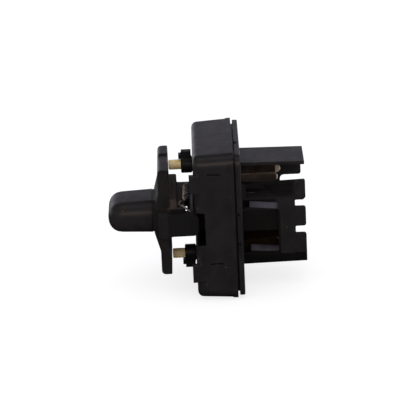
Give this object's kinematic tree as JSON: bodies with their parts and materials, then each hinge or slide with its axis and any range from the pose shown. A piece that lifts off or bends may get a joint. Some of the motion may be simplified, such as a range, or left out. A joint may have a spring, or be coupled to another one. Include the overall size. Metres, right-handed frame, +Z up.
{
  "type": "power window switch",
  "caption": "Door power window switch: a finger rocker that works two sprung plungers, on a moulded case with a plug-in connector shroud.",
  "frame": {"origin": "centre of the overall box at its lowest level, under the case", "axes": "X along the knob, the finger end towards -X and the connector towards +X; Z up, along the case's long side; Y is the rocker's pivot axis"},
  "size_m": [0.065, 0.043, 0.05],
  "materials": {
    "case": "satin moulded",
    "cover": "satin moulded",
    "rocker": "satin moulded",
    "knob": "fine grain",
    "bush": "smooth",
    "acetal": "smooth",
    "board": "moulded",
    "terminal": "dull stamped copper alloy",
    "contact": "rolled strip",
    "spring_steel": "drawn wire"
  },
  "bodies": {
    "case": {"front_housing": "case", "rear_base": "cover", "terminal_board": "board", "guide_upper": "bush", "guide_lower": "bush", "plunger_spring_upper": "spring_steel", "plunger_spring_lower": "spring_steel", "terminal_1": "terminal", "terminal_2": "terminal", "terminal_3": "terminal", "terminal_4": "terminal", "terminal_5": "terminal", "terminal_6": "terminal"},
    "rocker": {"rocker": "rocker", "knob_cap": "knob", "return_spring": "spring_steel"},
    "plunger_upper": {"plunger_upper": "acetal", "contact_bridge_upper": "contact"},
    "plunger_lower": {"plunger_lower": "acetal", "contact_bridge_lower": "contact"}
  },
  "joints": [
    {"name": "rocker_tilt", "type": "hinge", "parent": "case", "child": "rocker", "pos_m": [-0.0044, 0, 0.025], "axis": [0, 1, 0], "range_deg": [-8, 8], "stiffness_Nm_per_rad": 0.5, "deforming": ["return_spring"]},
    {"name": "plunger_upper_slide", "type": "slide", "parent": "case", "child": "plunger_upper", "axis": [1, 0, 0], "range_m": [-0.0022, 0.0022], "deforming": ["plunger_spring_upper"]},
    {"name": "plunger_lower_slide", "type": "slide", "parent": "case", "child": "plunger_lower", "axis": [1, 0, 0], "range_m": [-0.0022, 0.0022], "deforming": ["plunger_spring_lower"]}
  ],
  "couplings": [
    {"joint": "plunger_upper_slide", "follows": "rocker_tilt", "m_per_rad": 0.0156},
    {"joint": "plunger_lower_slide", "follows": "rocker_tilt", "m_per_rad": -0.0156}
  ]
}
